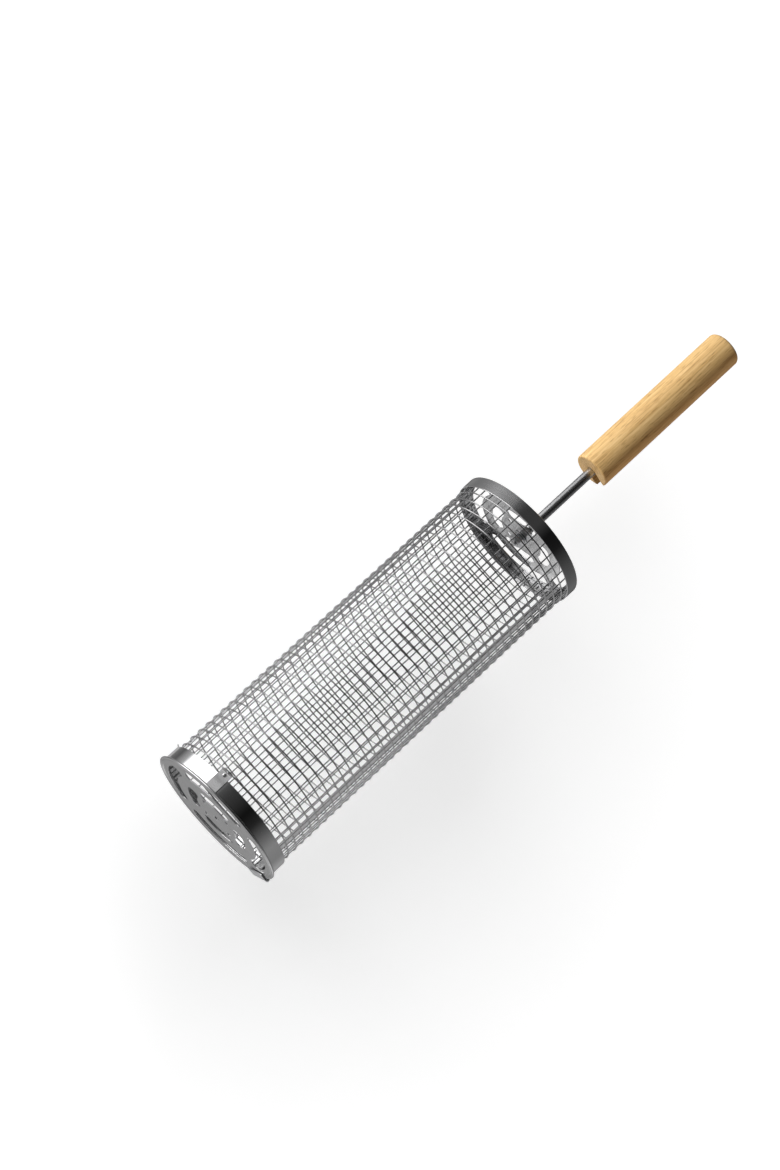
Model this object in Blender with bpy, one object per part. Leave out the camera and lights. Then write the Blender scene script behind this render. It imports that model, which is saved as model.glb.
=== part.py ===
"""Rolling grill basket: a wire-mesh cylinder with a hinged, clipped lid and a wooden handle.

Frame: metres. +X runs along the basket from the lid to the handle, and x = 0 is the front of the
lid's rim. The basket lies on its rims on the plane z = 0, with its axis at y = 0. The lid's hinge
is on the -Y side, and the two spring clips are on the +Y side, 44 degrees either side of +Y.
The functions below work from the basket's axis, and main() lifts everything to its height.
"""
import math

import bmesh
import bpy
from mathutils import Matrix, Vector

MM = 0.001

FIT = 0.3 * MM                # clearance between neighbouring pieces
ROUND_STEPS = 48              # sides of the big round pieces, one side square to each axis

# ---- overall
BASKET_LENGTH = 302.8 * MM    # from the lid's front to the far edge of the end collar
COLLAR_R = 54.0 * MM          # outer radius of both collars

# ---- pressed plates
PLATE_THICK = 0.8 * MM
LID_OVERHANG = 2.2 * MM       # the lid's rim stands out past the collars
LID_RIM_WIDTH = 2.4 * MM
LID_RIM_DEPTH = 1.5 * MM
LID_RIM_ROUND = 0.5 * MM
LID_FACE_X = 0.3 * MM         # the face lies a little behind the rim
SLOT_MARGIN = 6.1 * MM        # from the collar's outside to the outer slots
SLOT_OUT_WIDTH = 9.6 * MM
SLOT_OUT_HALF = 38.0          # degrees each side of the slot's middle
SLOT_LAND = 9.9 * MM          # between the outer and the inner slots
SLOT_IN_WIDTH = 9.2 * MM
SLOT_IN_HALF = 34.0
SMALL_HOLE_R = 1.9 * MM
SMALL_HOLE_LAND = 1.6 * MM    # between a small hole and the inner slots' circle
LID_CENTRE_HOLE_R = 2.6 * MM

# ---- collars (the two solid bands)
COLLAR_WALL = 0.8 * MM
COLLAR_HEM = 3.2 * MM         # how far the collar's outer edge is turned in
LID_COLLAR_WIDTH = 11.4 * MM
END_COLLAR_WIDTH = 10.3 * MM

# ---- wire tube, coarser than the real mesh
MESH_DEPTH = 1.6 * MM         # both layers of wire
MESH_BAR = 1.1 * MM           # width of a bar, which gives the real mesh's weight
MESH_LONG_BARS = 18           # the real mesh has 37 lengthwise wires
MESH_HOOPS = 15               # and about 42 hoops

# ---- seam strip, inside the mesh opposite the clips
STRIP_WIDTH = 9.0 * MM
STRIP_THICK = 0.8 * MM

# ---- hinge
HINGE_X = 0.9 * MM
KNUCKLE_R = 1.7 * MM
KNUCKLE_GAP = 0.4 * MM        # between the barrel and the leaf on the collar
PIN_R = 0.7 * MM
PIN_FIT = 0.2 * MM
PIN_HEAD_R = 1.25 * MM
PIN_HEAD = 0.6 * MM
HINGE_LENGTH = 20.0 * MM
KNUCKLE_MID_HALF = 3.7 * MM   # half length of the collar's knuckle
LEAF_THICK = 0.7 * MM
LID_LEAF_REACH = 5.7 * MM     # from the lid's edge onto its face
COLLAR_LEAF_HALF = 7.0 * MM
COLLAR_LEAF_EDGE = 0.7 * MM   # collar left bare beyond the leaf

# ---- clips
CLIP_ANGLE = 44.0             # degrees from +Y, one each side
CLIP_WIDTH = 9.4 * MM
CLIP_THICK = 0.7 * MM
CLIP_STAND = 0.4 * MM         # clip above the collar
CLIP_OVER = 5.0 * MM          # clip past the collar's edge
CLIP_LIP = 2.0 * MM           # how far the lip curls out
STUD_OVER = 1.1 * MM          # stud's middle past the collar's edge
STUD_R = 1.2 * MM

# ---- rod, nuts and washers
ROD_R = 3.5 * MM
THREAD_STEP = 0.5 * MM        # the threads are this much smaller in radius
ROD_EDGE = 0.3 * MM
BOLT_FIT = 0.3 * MM
NUT_FLATS = 10.0 * MM
NUT_THICK = 5.0 * MM
WASHER_EDGE = 1.0 * MM        # washer past the nut's flats
WASHER_THICK = 0.8 * MM
THREAD_OUT = 1.5 * MM         # thread showing past the inner nut

# ---- grip
ROD_SHOWN = 72.2 * MM         # from the basket to the grip
GRIP_LENGTH = 144.7 * MM
GRIP_R = 14.1 * MM
GRIP_EDGE = 1.2 * MM
GRIP_SLOT_WIDTH = 8.4 * MM
GRIP_SLOT_DEPTH = 16.0 * MM
INSERT_DEPTH = 18.0 * MM      # from the grip's end to the threaded insert
INSERT_LENGTH = 30.0 * MM
INSERT_WALL = 2.2 * MM
THREAD_END = 2.0 * MM         # thread past each end of the insert
KEY_R = 1.5 * MM
KEY_DEPTH = 9.0 * MM          # from the grip's end to the key pin
KEY_FIT = 0.2 * MM
KEY_BACK = 3.6 * MM           # from the key pin's end to the grip's outside
KEY_EDGE = 0.3 * MM

LID_R = COLLAR_R + LID_OVERHANG
AXIS_Z = LID_R * math.cos(math.pi / ROUND_STEPS)
LID_COLLAR_X0 = LID_RIM_DEPTH + FIT
LID_COLLAR_X1 = LID_COLLAR_X0 + LID_COLLAR_WIDTH
END_COLLAR_X1 = BASKET_LENGTH
END_COLLAR_X0 = END_COLLAR_X1 - END_COLLAR_WIDTH
SLOT_OUT_R = COLLAR_R - SLOT_MARGIN
SLOT_IN_R = SLOT_OUT_R - SLOT_OUT_WIDTH - SLOT_LAND
SMALL_HOLE_PITCH_R = SLOT_IN_R - SLOT_IN_WIDTH - SMALL_HOLE_LAND - SMALL_HOLE_R
MESH_R1 = COLLAR_R - COLLAR_WALL - FIT
MESH_R0 = MESH_R1 - MESH_DEPTH
PLATE_X0 = END_COLLAR_X1 - COLLAR_WALL - FIT - PLATE_THICK
MESH_X0 = LID_COLLAR_X0 + COLLAR_WALL + FIT
MESH_X1 = PLATE_X0 - FIT
COLLAR_LEAF_Y = -(COLLAR_R + FIT)
HINGE_OUT = COLLAR_R + FIT + LEAF_THICK + KNUCKLE_GAP + KNUCKLE_R
CLIP_X1 = LID_COLLAR_X1 + CLIP_OVER
STUD_X = LID_COLLAR_X1 + STUD_OVER
STUD_NECK_R = 0.6 * STUD_R
THREAD_R = ROD_R - THREAD_STEP
NUT_BORE_R = THREAD_R + BOLT_FIT
WASHER_R = NUT_FLATS / 2 + WASHER_EDGE
INSERT_R = THREAD_R + FIT + INSERT_WALL
GRIP_X0 = END_COLLAR_X1 + ROD_SHOWN
GRIP_X1 = GRIP_X0 + GRIP_LENGTH
INSERT_X0 = GRIP_X0 + INSERT_DEPTH
KEY_X = GRIP_X0 + KEY_DEPTH
KEY_OUT = GRIP_R - KEY_BACK
BEYOND = 1.0 * MM             # how far a cutter runs past what it cuts


def clear_scene():
    for ob in list(bpy.data.objects):
        bpy.data.objects.remove(ob, do_unlink=True)


def material(name, color, metallic, rough):
    mat = bpy.data.materials.get(name)
    if mat is None:
        mat = bpy.data.materials.new(name)
        mat.use_nodes = True
        bsdf = mat.node_tree.nodes["Principled BSDF"]
        bsdf.inputs["Base Color"].default_value = (*color, 1.0)
        bsdf.inputs["Metallic"].default_value = metallic
        bsdf.inputs["Roughness"].default_value = rough
        mat.diffuse_color = (*color, 1.0)
    return mat


def finish(name, bm, mat, smooth=True, origin=None):
    """Store a bmesh as an object, with its origin moved to a point if one is given."""
    bmesh.ops.recalc_face_normals(bm, faces=bm.faces)
    if origin is not None:
        bmesh.ops.translate(bm, verts=bm.verts, vec=-Vector(origin))
    me = bpy.data.meshes.new(name)
    bm.to_mesh(me)
    bm.free()
    ob = bpy.data.objects.new(name, me)
    bpy.context.scene.collection.objects.link(ob)
    if origin is not None:
        ob.location = origin
    me.materials.append(mat)
    if smooth:
        me.shade_smooth()
        me.set_sharp_from_angle(angle=math.radians(35))
    return ob


def ring_point(r, turn, x):
    """A point at radius r, turned from +Y toward +Z, at x along the axis."""
    return (x, r * math.cos(turn), r * math.sin(turn))


def revolve(profile, steps, turn0=0.0, closed_axis=False):
    """Turn a profile of (x, r) round the X axis. With closed_axis, both ends lie on the axis."""
    bm = bmesh.new()
    rows = []
    for x, r in profile:
        if closed_axis and r == 0.0:
            rows.append([bm.verts.new((x, 0.0, 0.0))])
        else:
            rows.append([bm.verts.new(ring_point(r, turn0 + 2 * math.pi * k / steps, x))
                         for k in range(steps)])
    pairs = list(zip(rows[:-1], rows[1:]))
    if not closed_axis:
        pairs.append((rows[-1], rows[0]))
    for a, b in pairs:
        for k in range(steps):
            j = (k + 1) % steps
            if len(a) == 1:
                bm.faces.new((a[0], b[k], b[j]))
            elif len(b) == 1:
                bm.faces.new((a[k], b[0], a[j]))
            else:
                bm.faces.new((a[k], b[k], b[j], a[j]))
    return bm


def prism(points, place, lo, hi):
    """Extrude a flat outline (list of 2D points) from lo to hi; place maps (u, v, w) to 3D."""
    bm = bmesh.new()
    a = [bm.verts.new(place(u, v, lo)) for u, v in points]
    b = [bm.verts.new(place(u, v, hi)) for u, v in points]
    bm.faces.new(a)
    bm.faces.new(list(reversed(b)))
    n = len(points)
    for k in range(n):
        j = (k + 1) % n
        bm.faces.new((a[k], b[k], b[j], a[j]))
    bmesh.ops.recalc_face_normals(bm, faces=bm.faces)
    return bm


def box(x0, x1, y0, y1, z0, z1):
    return prism([(x0, y0), (x1, y0), (x1, y1), (x0, y1)], lambda u, v, w: (u, v, w), z0, z1)


def join_bm(parts):
    out = bmesh.new()
    for bm in parts:
        me = bpy.data.meshes.new("tmp")
        bm.to_mesh(me)
        bm.free()
        out.from_mesh(me)
        bpy.data.meshes.remove(me)
    return out


def cut(ob, bm, name, operation="DIFFERENCE"):
    """Apply a Boolean to ob with the closed mesh bm as a hidden helper object."""
    bmesh.ops.recalc_face_normals(bm, faces=bm.faces)
    me = bpy.data.meshes.new(name)
    bmesh.ops.translate(bm, verts=bm.verts, vec=-ob.location)
    bm.to_mesh(me)
    bm.free()
    helper = bpy.data.objects.new(name, me)
    bpy.context.scene.collection.objects.link(helper)
    helper.location = ob.location
    helper.hide_render = True
    helper.display_type = 'WIRE'
    mod = ob.modifiers.new(name, 'BOOLEAN')
    mod.operation = operation
    mod.solver = 'EXACT'
    mod.object = helper
    return helper


def round_slot(r_out, width, half_deg, mid_deg, steps=10, cap=3):
    """Outline of a slot that follows a circle, with rounded ends, in the plate's Y-Z plane."""
    r_mid = r_out - width / 2
    end = width / 2
    turn_half = math.radians(half_deg) - end / r_mid
    mid = math.radians(mid_deg)
    pts = []
    for k in range(steps + 1):
        a = mid - turn_half + 2 * turn_half * k / steps
        pts.append((r_out * math.cos(a), r_out * math.sin(a)))
    for k in range(1, 2 * cap):
        a = mid + turn_half
        b = a + math.pi * k / (2 * cap)
        pts.append((r_mid * math.cos(a) + end * math.cos(b), r_mid * math.sin(a) + end * math.sin(b)))
    for k in range(steps + 1):
        a = mid + turn_half - 2 * turn_half * k / steps
        pts.append(((r_out - width) * math.cos(a), (r_out - width) * math.sin(a)))
    for k in range(1, 2 * cap):
        a = mid - turn_half
        b = a + math.pi + math.pi * k / (2 * cap)
        pts.append((r_mid * math.cos(a) + end * math.cos(b), r_mid * math.sin(a) + end * math.sin(b)))
    return pts


def circle(cy, cz, r, steps):
    return [(cy + r * math.cos(2 * math.pi * k / steps), cz + r * math.sin(2 * math.pi * k / steps))
            for k in range(steps)]


def plate_cutters(centre_r, x0, x1):
    """Four outer slots, four inner slots, four small holes and the centre hole."""
    shapes = []
    for k in range(4):
        shapes.append(round_slot(SLOT_OUT_R, SLOT_OUT_WIDTH, SLOT_OUT_HALF, 45 + 90 * k))
        shapes.append(round_slot(SLOT_IN_R, SLOT_IN_WIDTH, SLOT_IN_HALF, 45 + 90 * k, steps=8))
        a = math.radians(90 * k)
        shapes.append(circle(SMALL_HOLE_PITCH_R * math.cos(a), SMALL_HOLE_PITCH_R * math.sin(a),
                             SMALL_HOLE_R, 12))
    shapes.append(circle(0.0, 0.0, centre_r, 16))
    return join_bm([prism(s, lambda u, v, w: (w, u, v), x0, x1) for s in shapes])


def mesh_tube(mat):
    """An open grid of bars rolled into a tube: a coarse stand-in for the welded wire mesh."""
    nt, nx = MESH_LONG_BARS, MESH_HOOPS
    half = MESH_BAR / 2 / MESH_R1
    turns = []
    for k in range(nt):
        mid = 2 * math.pi * (k + 0.5) / nt + math.pi
        turns += [mid - half, mid + half]
    xs = []
    for j in range(nx):
        mid = MESH_X0 + MESH_BAR / 2 + (MESH_X1 - MESH_X0 - MESH_BAR) * j / (nx - 1)
        xs += [mid - MESH_BAR / 2, mid + MESH_BAR / 2]
    bm = bmesh.new()
    layers = []
    for r in (MESH_R1, MESH_R0):
        layers.append([[bm.verts.new(ring_point(r, t, x)) for t in turns] for x in xs])
    outer, inner = layers
    n = len(turns)

    def solid(i, k):
        return 0 <= i < len(xs) - 1 and not (i % 2 == 1 and k % n % 2 == 1)

    for i in range(len(xs) - 1):
        for k in range(n):
            if not solid(i, k):
                continue
            j = (k + 1) % n
            bm.faces.new((outer[i][k], outer[i + 1][k], outer[i + 1][j], outer[i][j]))
            bm.faces.new((inner[i][k], inner[i][j], inner[i + 1][j], inner[i + 1][k]))
            for di, dk in ((-1, 0), (1, 0), (0, -1), (0, 1)):
                if solid(i + di, (k + dk) % n):
                    continue
                if dk == 0:
                    m = i if di < 0 else i + 1
                    bm.faces.new((outer[m][k], outer[m][j], inner[m][j], inner[m][k]))
                else:
                    m = k if dk < 0 else j
                    bm.faces.new((outer[i][m], outer[i + 1][m], inner[i + 1][m], inner[i][m]))
    return finish("mesh_tube", bm, mat, smooth=False)


def collar(name, x0, x1, hem_at_low, mat):
    """A band with its outer edge turned in over the cut ends of the wires."""
    r1, r0, rh = COLLAR_R, COLLAR_R - COLLAR_WALL, COLLAR_R - COLLAR_HEM
    w = COLLAR_WALL
    if hem_at_low:
        prof = [(x0, rh), (x0, r1), (x1, r1), (x1, r0), (x0 + w, r0), (x0 + w, rh)]
    else:
        prof = [(x1, rh), (x1, r1), (x0, r1), (x0, r0), (x1 - w, r0), (x1 - w, rh)]
    return finish(name, revolve(prof, ROUND_STEPS, math.pi / ROUND_STEPS), mat)


def lid_plate(mat):
    """The pressed lid: a flat face with petal slots and a rolled rim, flattened at the hinge."""
    r2, rw, c = LID_R, LID_RIM_WIDTH, LID_RIM_ROUND
    prof = [(LID_FACE_X, 0.0), (LID_FACE_X, r2 - rw - c), (0.0, r2 - rw + c), (0.0, r2 - c),
            (c, r2), (LID_RIM_DEPTH - c, r2), (LID_RIM_DEPTH, r2 - c), (LID_RIM_DEPTH, r2 - rw + c),
            (LID_FACE_X + PLATE_THICK, r2 - rw - c), (LID_FACE_X + PLATE_THICK, 0.0)]
    ob = finish("lid_plate", revolve(prof, ROUND_STEPS, math.pi / ROUND_STEPS, closed_axis=True), mat,
                origin=(HINGE_X, -HINGE_OUT, 0.0))
    back = LID_FACE_X + PLATE_THICK + LID_RIM_DEPTH
    cut(ob, plate_cutters(LID_CENTRE_HOLE_R, -BEYOND, back), "lid_slots")
    chord = -(HINGE_OUT - KNUCKLE_R - FIT)
    cut(ob, box(-BEYOND, back, -LID_R - BEYOND, chord, -HINGE_LENGTH, HINGE_LENGTH), "lid_hinge_flat")
    return ob


def end_plate(mat):
    r = COLLAR_R - COLLAR_WALL - FIT
    prof = [(PLATE_X0, 0.0), (PLATE_X0, r), (PLATE_X0 + PLATE_THICK, r), (PLATE_X0 + PLATE_THICK, 0.0)]
    ob = finish("end_plate", revolve(prof, ROUND_STEPS, math.pi / ROUND_STEPS, closed_axis=True), mat)
    cut(ob, plate_cutters(NUT_BORE_R, PLATE_X0 - BEYOND, PLATE_X0 + PLATE_THICK + BEYOND), "end_slots")
    return ob


def seam_strip(mat):
    """Flat strip inside the mesh, along the seam; a bar of a hoop lies flat against it."""
    y1 = -(MESH_R0 * math.cos(math.pi / MESH_LONG_BARS) - FIT)
    bm = box(MESH_X0, MESH_X1 - FIT, y1, y1 + STRIP_THICK, -STRIP_WIDTH / 2, STRIP_WIDTH / 2)
    return finish("seam_strip", bm, mat, smooth=False)


def knuckle(z0, z1, steps=16):
    pts = circle(HINGE_X, -HINGE_OUT, KNUCKLE_R, steps)
    return prism(pts, lambda u, v, w: (u, v, w), z0, z1)


def pin_hole(z0, z1):
    return prism(circle(HINGE_X, -HINGE_OUT, PIN_R + PIN_FIT, 16), lambda u, v, w: (u, v, w), z0, z1)


def lid_hinge_leaf(mat):
    """Leaf on the lid's face with two rolled knuckles; its middle is cut back for the third."""
    half = HINGE_LENGTH / 2
    x0, x1 = -FIT - LEAF_THICK, -FIT
    inner = -(LID_R - LID_LEAF_REACH)
    gap = KNUCKLE_MID_HALF + FIT
    # one outline in the Y-Z plane: a plate with a notch toward the hinge
    y_edge, y_notch = -HINGE_OUT, -(HINGE_OUT - KNUCKLE_R - 2 * FIT)
    pts = [(inner, -half), (inner, half), (y_edge, half), (y_edge, gap), (y_notch, gap),
           (y_notch, -gap), (y_edge, -gap), (y_edge, -half)]
    bm = prism(pts, lambda u, v, w: (w, u, v), x0, x1)
    ob = finish("lid_hinge_leaf", bm, mat, origin=(HINGE_X, -HINGE_OUT, 0.0))
    cut(ob, join_bm([knuckle(gap, half), knuckle(-half, -gap)]), "lid_knuckles", "UNION")
    cut(ob, pin_hole(-half - BEYOND, half + BEYOND), "lid_pin_hole")
    return ob


def collar_hinge_leaf(mat):
    """Leaf on the outside of the lid collar with the middle knuckle."""
    y0, y1 = COLLAR_LEAF_Y - LEAF_THICK, COLLAR_LEAF_Y
    half, k = COLLAR_LEAF_HALF, KNUCKLE_MID_HALF
    ob = finish("collar_hinge_leaf",
                box(LID_COLLAR_X0, LID_COLLAR_X1 - COLLAR_LEAF_EDGE, y0, y1, -half, half), mat)
    web = box(LID_COLLAR_X0 - 0.1 * FIT, HINGE_X + KNUCKLE_R, -HINGE_OUT, y1 - 0.3 * LEAF_THICK, -k, k)
    cut(ob, web, "leaf_web", "UNION")
    cut(ob, knuckle(-k, k), "leaf_knuckle", "UNION")
    cut(ob, pin_hole(-k - BEYOND, k + BEYOND), "leaf_pin_hole")
    return ob


def hinge_pin(mat):
    half = HINGE_LENGTH / 2 + PIN_FIT
    head, round_off = PIN_HEAD, PIN_HEAD / 2
    prof = [(half, PIN_R), (half, PIN_HEAD_R), (half + round_off, PIN_HEAD_R),
            (half + head, PIN_HEAD_R - round_off), (half + head, 0.0)]
    prof = [(-x, r) for x, r in reversed(prof)] + prof
    bm = revolve(prof, 16, closed_axis=True)
    bmesh.ops.transform(bm, matrix=Matrix.Rotation(-math.pi / 2, 4, 'Y'), verts=bm.verts)
    bmesh.ops.translate(bm, verts=bm.verts, vec=(HINGE_X, -HINGE_OUT, 0.0))
    return finish("hinge_pin", bm, mat)


def clip_frame(side):
    """Directions of a clip: outward from the basket's axis, and across the clip."""
    a = math.radians(CLIP_ANGLE) * side
    return Vector((0, math.cos(a), math.sin(a))), Vector((0, -math.sin(a), math.cos(a)))


def clip_root(side):
    out, _ = clip_frame(side)
    return Vector((LID_COLLAR_X0, 0, 0)) + out * (COLLAR_R + CLIP_STAND + CLIP_THICK / 2)


def clip(name, side, mat):
    """A springy tongue over the collar, ending in a lip that curls outward."""
    out, across = clip_frame(side)
    r0 = COLLAR_R + CLIP_STAND
    r1 = r0 + CLIP_THICK
    x0, x1, lip = LID_COLLAR_X0, CLIP_X1, CLIP_LIP
    bend_r = lip + CLIP_THICK     # the lip is a quarter turn that starts at x1 - bend_r
    turns = [math.radians(80 * k / 4) for k in range(5)]
    under = [(x1 - bend_r + bend_r * math.sin(a), r0 + bend_r * (1 - math.cos(a))) for a in turns]
    over = [(x1 - bend_r + lip * math.sin(a), r1 + lip * (1 - math.cos(a))) for a in reversed(turns)]
    pts = [(x0, r0)] + under + over + [(x0, r1)]
    bm = prism(pts, lambda u, v, w: Vector((u, 0, 0)) + out * v + across * w,
               -CLIP_WIDTH / 2, CLIP_WIDTH / 2)
    ob = finish(name, bm, mat, origin=clip_root(side))
    hole = prism(circle(0, 0, STUD_NECK_R + PIN_FIT, 12),
                 lambda u, v, w: Vector((STUD_X + u, 0, 0)) + out * w + across * v, r0 - BEYOND, r1 + BEYOND)
    cut(ob, hole, name + "_hole")
    return ob


def stud(name, side, mat):
    """Small domed stud through the clip."""
    out, across = clip_frame(side)
    r0 = COLLAR_R + CLIP_STAND
    r1 = r0 + CLIP_THICK + PIN_FIT
    dome = [(r1 + 0.85 * STUD_R * math.sin(a), STUD_R * math.cos(a))
            for a in (math.radians(30 * k) for k in range(3))]
    prof = [(r0, 0.0), (r0, STUD_NECK_R), (r1, STUD_NECK_R)] + dome + [(r1 + 0.85 * STUD_R, 0.0)]
    bm = revolve(prof, 12, closed_axis=True)
    for v in bm.verts:
        h, a, b = v.co
        v.co = Vector((STUD_X + a, 0, 0)) + out * h + across * b
    return finish(name, bm, mat, origin=clip_root(side))


def nut(name, x0, mat):
    r = NUT_FLATS / 2 / math.cos(math.pi / 6)
    outline = [(r * math.cos(math.radians(60 * k)), r * math.sin(math.radians(60 * k))) for k in range(6)]
    ob = finish(name, prism(outline, lambda u, v, w: (w, u, v), x0, x0 + NUT_THICK), mat, smooth=False)
    cut(ob, prism(circle(0, 0, NUT_BORE_R, 16), lambda u, v, w: (w, u, v),
                  x0 - BEYOND, x0 + NUT_THICK + BEYOND), name + "_bore")
    return ob


def washer(name, x0, mat):
    r0 = NUT_BORE_R
    prof = [(x0, r0), (x0, WASHER_R), (x0 + WASHER_THICK, WASHER_R), (x0 + WASHER_THICK, r0)]
    return finish(name, revolve(prof, 24), mat)


def rod(x_inner, x_shoulder, mat):
    """Thread through the plate and nuts, plain middle, thread again inside the grip."""
    t, r, e = THREAD_R, ROD_R, ROD_EDGE
    x_in = INSERT_X0 - THREAD_END
    x_end = INSERT_X0 + INSERT_LENGTH + THREAD_END
    prof = [(x_inner, 0.0), (x_inner, t - 2 * e), (x_inner + 2 * e, t), (x_shoulder, t), (x_shoulder, r - e),
            (x_shoulder + e, r), (x_in - e, r), (x_in, r - e), (x_in, t),
            (x_end - 2 * e, t), (x_end, t - 2 * e), (x_end, 0.0)]
    ob = finish("rod", revolve(prof, 20, closed_axis=True), mat)
    hole = prism(circle(KEY_X, 0.0, KEY_R + KEY_FIT, 12), lambda u, v, w: (u, w, v),
                 -ROD_R - BEYOND, ROD_R + BEYOND)
    cut(ob, hole, "rod_key_hole")
    return ob


def key_pin(mat):
    """Cross pin through the rod; it stands in the grip's slot and stops the grip turning."""
    far = math.sqrt(ROD_R ** 2 - KEY_R ** 2)     # its far end is flush with the rod
    prof = [(-far, 0.0), (-far, KEY_R), (KEY_OUT - KEY_EDGE, KEY_R), (KEY_OUT, KEY_R - KEY_EDGE),
            (KEY_OUT, 0.0)]
    bm = revolve(prof, 12, closed_axis=True)
    for v in bm.verts:
        h, a, b = v.co
        v.co = Vector((KEY_X + a, -h, b))
    return finish("key_pin", bm, mat)


def grip(mat):
    """Straight round wooden grip: a bore for the rod and one open slot in its basket end."""
    e = GRIP_EDGE
    x0, x1, r = GRIP_X0, GRIP_X1, GRIP_R
    prof = [(x0, 0.0), (x0, r - e), (x0 + 0.3 * e, r - 0.3 * e), (x0 + e, r), (x1 - e, r),
            (x1 - 0.3 * e, r - 0.3 * e), (x1, r - e), (x1, 0.0)]
    ob = finish("wood_grip", revolve(prof, 40, closed_axis=True), mat)
    in0, in1 = INSERT_X0 - FIT, INSERT_X0 + INSERT_LENGTH + FIT
    far = in1 + THREAD_END + FIT
    bore = [(x0 - BEYOND, 0.0), (x0 - BEYOND, ROD_R + FIT), (in0, ROD_R + FIT), (in0, INSERT_R + FIT),
            (in1, INSERT_R + FIT), (in1, THREAD_R + FIT), (far, THREAD_R + FIT), (far, 0.0)]
    cut(ob, revolve(bore, 20, closed_axis=True), "grip_bore")
    half = GRIP_SLOT_WIDTH / 2
    cut(ob, box(x0 - BEYOND, x0 + GRIP_SLOT_DEPTH, -GRIP_R - BEYOND, 0.0, -half, half), "grip_slot")
    return ob


def grip_insert(mat):
    r0 = THREAD_R + FIT
    lo, hi = INSERT_X0, INSERT_X0 + INSERT_LENGTH
    prof = [(lo, r0), (lo, INSERT_R), (hi, INSERT_R), (hi, r0)]
    return finish("grip_insert", revolve(prof, 20), mat)


def main():
    clear_scene()
    steel = material("stainless_sheet", (0.62, 0.62, 0.63), 1.0, 0.22)
    wire = material("stainless_wire", (0.60, 0.60, 0.61), 1.0, 0.3)
    hard = material("steel_hardware", (0.50, 0.50, 0.51), 1.0, 0.35)
    wood = material("pale_wood", (0.80, 0.60, 0.36), 0.0, 0.55)

    mesh_tube(wire)
    seam_strip(steel)
    collar("lid_collar", LID_COLLAR_X0, LID_COLLAR_X1, True, steel)
    collar("end_collar", END_COLLAR_X0, END_COLLAR_X1, False, steel)
    end_plate(steel)
    lid_plate(steel)
    lid_hinge_leaf(steel)
    collar_hinge_leaf(steel)
    hinge_pin(hard)
    clip("clip_upper", 1, steel)
    clip("clip_lower", -1, steel)
    stud("clip_stud_upper", 1, hard)
    stud("clip_stud_lower", -1, hard)

    plate_x1 = PLATE_X0 + PLATE_THICK
    x = PLATE_X0 - FIT - WASHER_THICK
    washer("inner_washer", x, hard)
    x -= FIT + NUT_THICK
    nut("inner_nut", x, hard)
    x_inner = x - THREAD_OUT
    x = plate_x1 + FIT
    washer("outer_washer", x, hard)
    x += WASHER_THICK + FIT
    nut("outer_nut", x, hard)
    rod(x_inner, x + NUT_THICK + FIT, steel)
    grip_insert(hard)
    key_pin(hard)
    grip(wood)
    for ob in bpy.data.objects:
        ob.location.z += AXIS_Z


main()
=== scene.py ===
# Rolling grill basket: wire mesh, pierced lid and end plate, spring clips, hinge, rod and wooden grip.
import math

import bmesh
import bpy
import numpy as np
from mathutils import Matrix, Vector
from mathutils.geometry import delaunay_2d_cdt


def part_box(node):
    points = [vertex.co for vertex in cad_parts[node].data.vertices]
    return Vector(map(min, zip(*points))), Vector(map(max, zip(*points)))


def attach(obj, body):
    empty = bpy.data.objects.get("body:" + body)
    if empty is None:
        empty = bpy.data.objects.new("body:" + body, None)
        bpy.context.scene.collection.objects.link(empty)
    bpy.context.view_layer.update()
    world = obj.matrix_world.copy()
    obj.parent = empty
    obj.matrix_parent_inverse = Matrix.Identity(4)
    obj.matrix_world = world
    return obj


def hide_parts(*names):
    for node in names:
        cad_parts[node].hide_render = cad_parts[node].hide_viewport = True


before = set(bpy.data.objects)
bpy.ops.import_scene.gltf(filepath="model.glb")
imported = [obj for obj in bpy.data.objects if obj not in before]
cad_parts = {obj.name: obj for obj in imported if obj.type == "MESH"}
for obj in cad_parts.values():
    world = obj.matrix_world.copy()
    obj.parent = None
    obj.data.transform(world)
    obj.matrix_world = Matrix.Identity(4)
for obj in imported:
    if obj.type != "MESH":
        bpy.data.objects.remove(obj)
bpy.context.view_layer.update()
mm = 0.001
rodLo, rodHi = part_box("rod")
axisZ = (rodLo.z + rodHi.z) / 2      # height of the basket's axis
facets = 48                          # sides of the frame's round solids
print("frame loaded, axis at", round(axisZ * 1000, 2), "mm")


def roundRadius(node):
    # True radius of a round node: its box stops at the flats of its facets, at r cos(pi / facets).
    lo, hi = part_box(node)
    return (hi.z - lo.z) / 2 / math.cos(math.pi / facets)


# camera

camera = {
    "place": (-0.3275, 0.8183, 1.5652),      # from the foot of the axis at the lid
    "right": (0.70690, -0.50967, 0.49043),
    "up": (0.64585, 0.74783, -0.15375),
    "back": (-0.28839, 0.42542, 0.85781),
    "lens": 80.3,
    "clip": (0.05, 50),
}


def makeCamera():
    data = bpy.data.cameras.new("camera")
    data.lens = camera["lens"]
    data.clip_start, data.clip_end = camera["clip"]
    ob = bpy.data.objects.new("camera", data)
    bpy.context.scene.collection.objects.link(ob)
    turn = Matrix((camera["right"], camera["up"], camera["back"])).transposed().to_4x4()
    place = Vector(camera["place"]) + Vector((0, 0, axisZ))
    ob.matrix_world = Matrix.Translation(place) @ turn
    bpy.context.scene.camera = ob


makeCamera()

# shader node groups


def newGroup(name, inputs, outputs):
    tree = bpy.data.node_groups.new(name, "ShaderNodeTree")
    for label, kind, value in inputs:
        socket = tree.interface.new_socket(label, in_out="INPUT", socket_type=kind)
        socket.default_value = value
    for label, kind in outputs:
        tree.interface.new_socket(label, in_out="OUTPUT", socket_type=kind)
    return tree, tree.nodes.new("NodeGroupInput"), tree.nodes.new("NodeGroupOutput")


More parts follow.
